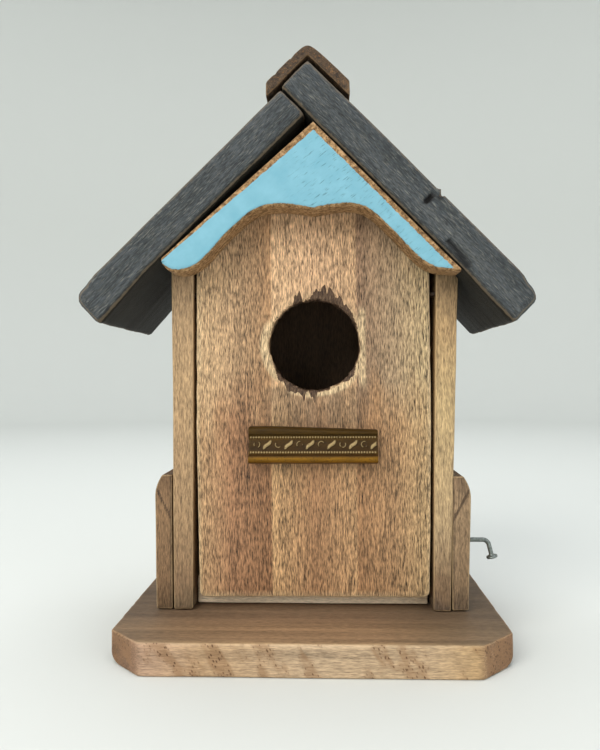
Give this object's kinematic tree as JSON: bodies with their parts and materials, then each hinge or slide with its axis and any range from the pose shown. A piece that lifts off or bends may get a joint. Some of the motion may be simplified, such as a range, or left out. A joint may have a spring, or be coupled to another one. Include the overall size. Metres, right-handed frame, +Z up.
{
  "type": "birdhouse",
  "caption": "Wooden gabled birdhouse with a round entrance hole, a hinged front door held by a bent latch nail, and a flat back to hang on a wall.",
  "frame": {"origin": "middle of the underside of the base plank, which is also the middle of the overall box in X and Y", "axes": "+X across the front to the right as seen from the front, -Y towards the front, +Z up"},
  "size_m": [0.1877, 0.104, 0.2459],
  "materials": {
    "base_wood": "rubbed and oiled softwood plank with a paler sawn front edge",
    "wall_wood": "sanded and oiled board, golden brown",
    "door_wood": "sanded and oiled board in bands of lighter and darker brown, pale worn edges",
    "floor_wood": "bare pale board",
    "roof_stain": "charcoal grey stain brushed on rough boards, rubbed through at the edges",
    "fascia_paint": "sky blue paint, thin over the grain, sanded through along the edges",
    "ridge_wood": "dark oiled moulding with speckled end grain",
    "trim_wood": "oiled offcut with a darker band",
    "gilt_moulding": "old picture-frame moulding, dark olive and worn gold",
    "steel": "dull grey wire nail"
  },
  "bodies": {
    "house": {"base_plank": "base_wood", "floor_board": "floor_wood", "left_wall": "wall_wood", "right_wall": "wall_wood", "back_wall": "wall_wood", "gable_fascia": "fascia_paint", "left_roof_plank": "roof_stain", "right_roof_plank": "roof_stain", "ridge_cap": "ridge_wood", "left_side_trim": "trim_wood", "right_side_trim": "trim_wood", "left_pivot_nail": "steel", "right_pivot_nail": "steel", "base_screw_1": "steel", "base_screw_2": "steel", "base_screw_3": "steel", "base_screw_4": "steel", "left_floor_nail": "steel", "left_back_nail_1": "steel", "left_back_nail_2": "steel", "right_floor_nail": "steel", "right_back_nail_1": "steel", "right_back_nail_2": "steel", "left_trim_brad_1": "steel", "left_trim_brad_2": "steel", "right_trim_brad_1": "steel", "right_trim_brad_2": "steel", "left_roof_nail_1": "steel", "left_roof_nail_2": "steel", "left_roof_nail_3": "steel", "right_roof_nail_1": "steel", "right_roof_nail_2": "steel", "right_roof_nail_3": "steel", "ridge_nail_1": "steel", "ridge_nail_2": "steel", "left_ridge_brad_1": "steel", "left_ridge_brad_2": "steel", "right_ridge_brad_1": "steel", "right_ridge_brad_2": "steel"},
    "door": {"front_door": "door_wood", "perch_moulding": "gilt_moulding"},
    "latch": {"latch_nail": "steel"}
  },
  "joints": [
    {"name": "door_swing", "type": "hinge", "parent": "house", "child": "door", "pos_m": [0, -0.01095, 0.1467], "axis": [-1, 0, 0], "range_deg": [0, 85]},
    {"name": "latch_slide", "type": "slide", "parent": "house", "child": "latch", "axis": [1, 0, 0], "range_m": [-0.0044, 0.011]}
  ]
}
